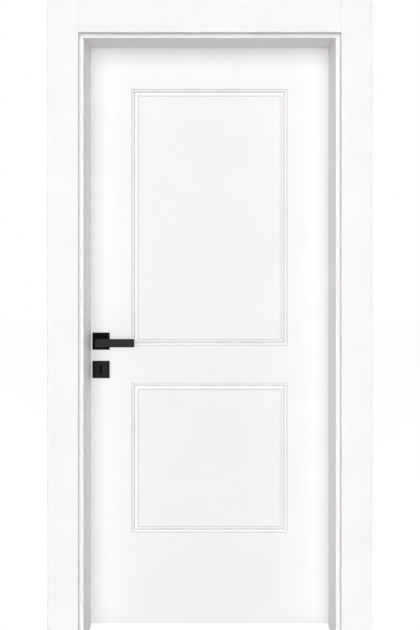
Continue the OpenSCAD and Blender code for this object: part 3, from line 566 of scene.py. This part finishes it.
screwLook = {
    "sides": 24, "pitch": 0.0018, "rootShare": 0.76, "tipShare": 0.15, "landShare": 0.08,
    "slotShares": (1.15, 0.3, 0.8), "smooth": 30,
}
grubLook = {
    "sides": 24, "pitch": 0.0008, "rootShare": 0.88, "tipShare": 0.8, "endShare": 0.88, "slantShare": 0.12,
    "socketSides": 6, "socketR": 0.0014, "socketDeep": 0.003, "smooth": 30,
}
placeScrews("hinge_frame_screws", "hingeFrameScrews", modelScrew, screwLook, blackHinge)
placeScrews("hinge_leaf_screws", "hingeLeafScrews", modelScrew, screwLook, blackHinge)
placeScrews("strike_screws", "strikeScrews", modelScrew, screwLook, zincPlate)
placeScrews("forend_screws", "forendScrews", modelScrew, screwLook, zincPlate)
placeScrews("corner_screws", "cornerScrews", modelScrew, dict(screwLook, pitch=0.003), zincPlate)
placeScrews("grub_screws", "grubScrews", modelGrub, grubLook, oiledSteel)
print("screws placed")


# floor, world and lamps

floorLook = {
    "side": 14.0, "colour": (0.76, 0.76, 0.76), "speckle": (0.73, 0.73, 0.73), "speckleScale": 30.0,
    "speckleDetail": 4, "whiteShare": 0.60, "glow": 1.0, "lift": 4.5,
}
worldLook = {"ambient": 0.20, "ambientColour": (1.0, 0.995, 0.99), "background": 1.0}
lampFar = 4                               # only where the lamp's object stands
keyLook = {"from": (-0.03, -1.0, 0.14), "spread": 44.0, "strength": 0.90, "colour": (1.0, 0.992, 0.985)}
frameLook = {"from": (0.0, -1.0, 0.45), "spread": 90.0, "strength": 1.02, "colour": (1.0, 0.992, 0.985)}
rakeLook = {"from": (-2.00, -1.0, 2.10), "spread": 12.0, "strength": 2.20, "colour": (1.0, 0.992, 0.985)}
backLook = {"from": (0.30, 1.0, 0.50), "spread": 40.0, "strength": 2.20, "colour": (1.0, 0.995, 0.99)}


def rayShare(nodes, links):               # 1 for camera, glossy and transmission rays
    path = nodes.new("ShaderNodeLightPath")
    total = path.outputs["Is Camera Ray"]
    for ray in ("Is Glossy Ray", "Is Transmission Ray"):
        add = nodes.new("ShaderNodeMath")
        add.operation = "ADD"
        add.use_clamp = True
        links.new(total, add.inputs[0])
        links.new(path.outputs[ray], add.inputs[1])
        total = add.outputs[0]
    return total


def makeFloor(look):
    clearSelection()
    bpy.ops.mesh.primitive_plane_add(size=look["side"])
    floor = bpy.context.active_object
    floor.name = "floor"
    material, nodes, links, shader = newMaterial("paleFloor")
    nodes.remove(shader)
    vector = objectCoords(nodes, links, (1, 1, 1))
    speckle = noiseNode(nodes, links, vector, look["speckleScale"], look["speckleDetail"])
    seen = rayShare(nodes, links)
    lift = nodes.new("ShaderNodeVectorMath")     # the eye sees the floor paler than it throws light back
    lift.operation = "SCALE"
    links.new(twoTone(nodes, links, speckle, look["speckle"], look["colour"]), lift.inputs["Vector"])
    links.new(spread(nodes, links, seen, 1.0, look["lift"]), lift.inputs["Scale"])
    matte = nodes.new("ShaderNodeBsdfDiffuse")
    links.new(lift.outputs["Vector"], matte.inputs["Color"])
    glow = nodes.new("ShaderNodeEmission")
    glow.inputs["Strength"].default_value = look["glow"]
    scale = nodes.new("ShaderNodeMath")
    scale.operation = "MULTIPLY"
    scale.inputs[1].default_value = look["whiteShare"]
    links.new(seen, scale.inputs[0])
    mix = nodes.new("ShaderNodeMixShader")
    links.new(scale.outputs[0], mix.inputs[0])
    links.new(matte.outputs[0], mix.inputs[1])
    links.new(glow.outputs[0], mix.inputs[2])
    links.new(mix.outputs[0], nodes["Material Output"].inputs["Surface"])
    material.cycles.emission_sampling = "NONE"   # the glow is for the eye only and lights nothing
    setMaterial(floor, material)
    floor.visible_diffuse = False         # or it shades the low part of the broad lamps
    floor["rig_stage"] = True


def makeWorld(look):
    world = bpy.data.worlds.new("studio")
    scene.world = world
    world.use_nodes = True
    nodes, links = world.node_tree.nodes, world.node_tree.links
    ambient = nodes["Background"]
    ambient.inputs["Color"].default_value = (*look["ambientColour"], 1)
    ambient.inputs["Strength"].default_value = look["ambient"]
    white = nodes.new("ShaderNodeBackground")
    white.inputs["Color"].default_value = (1, 1, 1, 1)
    white.inputs["Strength"].default_value = look["background"]
    mix = nodes.new("ShaderNodeMixShader")
    links.new(rayShare(nodes, links), mix.inputs[0])
    links.new(ambient.outputs[0], mix.inputs[1])
    links.new(white.outputs[0], mix.inputs[2])
    links.new(mix.outputs[0], nodes["World Output"].inputs["Surface"])


def makeLamp(name, look):                 # a broad sun, so that the whole height is lit alike
    lamp = bpy.data.lights.new(name, "SUN")
    lamp.energy = look["strength"]
    lamp.angle = math.radians(look["spread"])
    lamp.color = look["colour"]
    holder = bpy.data.objects.new(name, lamp)
    scene.collection.objects.link(holder)
    holder.location = Vector(look["from"]) * lampFar
    holder.rotation_euler = (-Vector(look["from"])).to_track_quat("-Z", "Y").to_euler()
    return holder


def pieceGroup(name, pieces):             # a group that a lamp is linked to
    group = bpy.data.collections.new(name)
    for piece in pieces:
        group.objects.link(piece)
    return group


def makeLamps():
    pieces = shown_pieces()
    skins = [piece for piece in pieces if piece.name.endswith("Skin")]
    others = [piece for piece in pieces if piece not in skins]
    noLevers = [piece for piece in pieces if not piece.name.endswith("Lever")]
    behind = [piece for piece in pieces if not piece.name.startswith("front")]
    frontSkin = [piece for piece in skins if piece not in behind]
    lamps = (("keyLamp", keyLook, None, pieces),
             ("fillLamp", keyLook, None, noLevers),          # halves the levers' shadow
             ("backLamp", backLook, behind, pieces),
             ("frameLamp", frameLook, others, pieces),
             ("rakeLamp", rakeLook, frontSkin, frontSkin))   # brings the mouldings out
    for name, look, lit, shading in lamps:
        lamp = makeLamp(name, look)
        if lit:
            lamp.light_linking.receiver_collection = pieceGroup(name + "Lit", lit)
        lamp.light_linking.blocker_collection = pieceGroup(name + "Shading", shading)


makeFloor(floorLook)
makeWorld(worldLook)
makeLamps()
print("stage set")


# camera: level, square on to the door, framed with a shift as in the photograph

cameraLook = {"place": (0.0, -2.5155, 1.4775), "lens": 41.36, "sensor": 36.0, "shift": (0.0006, -0.1698)}


def makeCamera(look):
    data = bpy.data.cameras.new("camera")
    data.sensor_fit = "VERTICAL"
    data.sensor_height = look["sensor"]
    data.sensor_width = look["sensor"]
    data.lens = look["lens"]
    data.shift_x, data.shift_y = look["shift"]
    holder = bpy.data.objects.new("camera", data)
    scene.collection.objects.link(holder)
    holder.location = look["place"]
    holder.rotation_euler = (math.radians(90), 0, 0)
    scene.camera = holder


makeCamera(cameraLook)
scene.view_settings.view_transform = "Standard"
